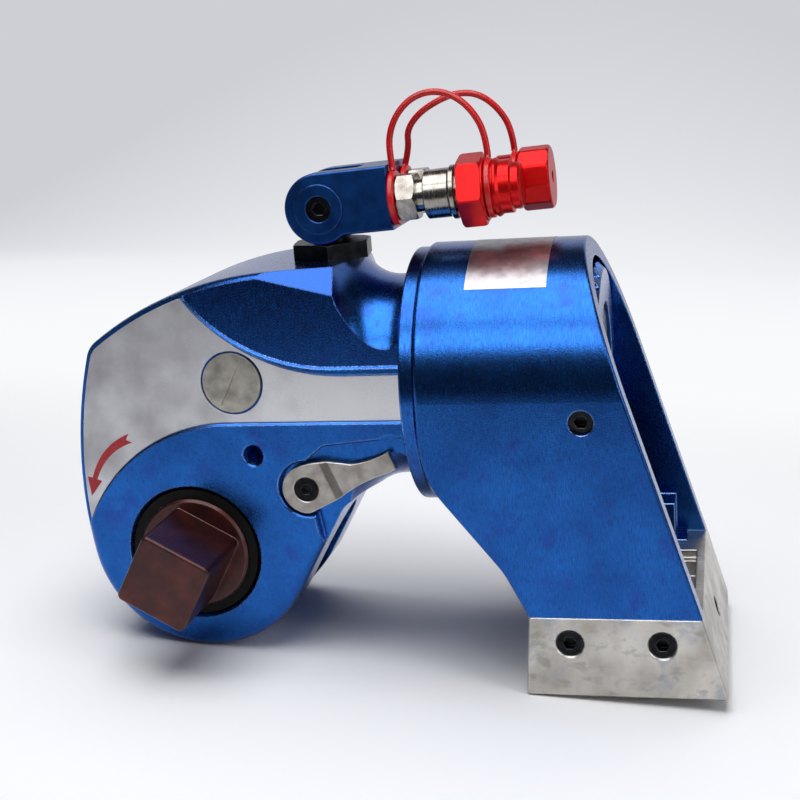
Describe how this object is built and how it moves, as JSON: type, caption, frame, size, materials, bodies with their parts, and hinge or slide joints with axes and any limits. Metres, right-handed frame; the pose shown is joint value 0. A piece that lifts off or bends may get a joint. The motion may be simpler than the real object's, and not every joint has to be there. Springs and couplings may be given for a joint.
{
  "type": "hydraulic torque wrench",
  "caption": "Square drive hydraulic torque wrench with a ratchet head, slide-on reaction arm and a two-port swivel for its hoses.",
  "frame": {"origin": "centre of the drive axis, half way through the head", "axes": "+X along the hydraulic cylinder from the head towards the reaction arm, -Y along the drive axis out through the square, +Z from the drive up towards the hose swivel"},
  "size_m": [0.332, 0.1606, 0.2932],
  "materials": {
    "blue_anodised": "satin anodised",
    "brushed_steel": "straight brushed",
    "machined_steel": "turned and ground",
    "black_oxide_steel": "black oxide",
    "bronzed_drive_steel": "brown heat treated",
    "zinc_steel": "bright zinc",
    "bronze": "turned",
    "cast_foot_alloy": "bead blasted",
    "navy_anodised": "satin anodised",
    "red_anodised": "red anodised",
    "red_rubber": "smooth moulded",
    "black_rubber": "moulded",
    "spring_steel": "drawn wire"
  },
  "bodies": {
    "head": {"housing": "blue_anodised", "cylinder": "blue_anodised", "side_plate_near": "brushed_steel", "side_plate_far": "brushed_steel", "pin_plug_near": "machined_steel", "pin_plug_far": "machined_steel", "drive_bushes": "bronze", "drive_seal_near": "black_rubber", "drive_seal_far": "black_rubber", "gland_bush": "bronze", "rod_seal": "black_rubber", "end_cap": "machined_steel", "end_cap_ring": "black_rubber", "port_plug": "bronze", "swivel_base": "black_oxide_steel"},
    "ram": {"piston_rod": "zinc_steel", "piston": "machined_steel", "piston_seals": "black_rubber", "piston_nut": "black_oxide_steel"},
    "lever": {"lever_plate_near": "machined_steel", "lever_plate_far": "machined_steel", "lever_pin": "machined_steel", "drive_pawl": "machined_steel", "drive_pawl_springs": "spring_steel", "spring_bridge": "machined_steel"},
    "drive": {"ratchet_wheel": "machined_steel", "square_drive": "bronzed_drive_steel", "drive_retainer": "bronzed_drive_steel"},
    "button": {"retainer_button": "machined_steel"},
    "release": {"release_lever": "brushed_steel", "release_lever_screw": "black_oxide_steel", "release_shaft": "machined_steel", "reaction_pawl": "machined_steel", "reaction_pawl_spring": "spring_steel"},
    "arm": {"reaction_arm": "blue_anodised", "arm_set_screw": "black_oxide_steel", "reaction_foot": "cast_foot_alloy", "foot_screws": "zinc_steel"},
    "post": {"swivel_post": "black_oxide_steel"},
    "yoke": {"swivel_yoke": "navy_anodised", "swivel_pin": "black_oxide_steel", "swivel_washers": "navy_anodised", "coupler_near": "zinc_steel", "coupler_far": "zinc_steel", "neck_ring_near": "red_rubber", "neck_ring_far": "red_rubber", "cap_ring_near": "red_rubber", "tether_near": "red_rubber", "tether_far": "red_rubber"},
    "near_cap": {"cap_near": "red_anodised"},
    "far_cap": {"cap_far": "red_anodised", "cap_ring_far": "red_rubber"}
  },
  "joints": [
    {"name": "piston_stroke", "type": "slide", "parent": "head", "child": "ram", "axis": [-1, 0, 0], "range_m": [0, 0.03931]},
    {"name": "lever_swing", "type": "hinge", "parent": "head", "child": "lever", "pos_m": [0, 0, 0], "axis": [0, -1, 0], "range_deg": [0, 24.2]},
    {"name": "drive_spin", "type": "hinge", "parent": "lever", "child": "drive", "pos_m": [0, 0, 0], "axis": [0, -1, 0], "continuous": true},
    {"name": "retainer_button_press", "type": "slide", "parent": "drive", "child": "button", "axis": [0, -1, 0], "range_m": [0, 0.003], "stiffness_N_per_m": 800},
    {"name": "release_lever_press", "type": "hinge", "parent": "head", "child": "release", "pos_m": [0.0643, 0, 0.0346], "axis": [0, 1, 0], "range_deg": [0, 8], "stiffness_Nm_per_rad": 2},
    {"name": "arm_slide", "type": "slide", "parent": "head", "child": "arm", "axis": [1, 0, 0], "range_m": [0, 0.09]},
    {"name": "swivel_turn", "type": "hinge", "parent": "head", "child": "post", "pos_m": [0.0755, 0, 0.15], "axis": [0, 0, 1], "continuous": true},
    {"name": "swivel_tilt", "type": "hinge", "parent": "post", "child": "yoke", "pos_m": [0.0755, 0, 0.1727], "axis": [0, -1, 0], "range_deg": [-3, 174], "deforming": ["tether_near"]},
    {"name": "cap_near_turn", "type": "hinge", "parent": "yoke", "child": "near_cap", "pos_m": [0.15534, -0.014, 0.17789], "axis": [0.9986, 0, 0.0523], "continuous": true},
    {"name": "cap_far_slide", "type": "slide", "parent": "yoke", "child": "far_cap", "axis": [0.9986, 0, 0.0523], "range_m": [0, 0.025], "deforming": ["tether_far"]}
  ],
  "couplings": [
    {"joint": "lever_swing", "follows": "piston_stroke", "rad_per_m": 10.642}
  ]
}
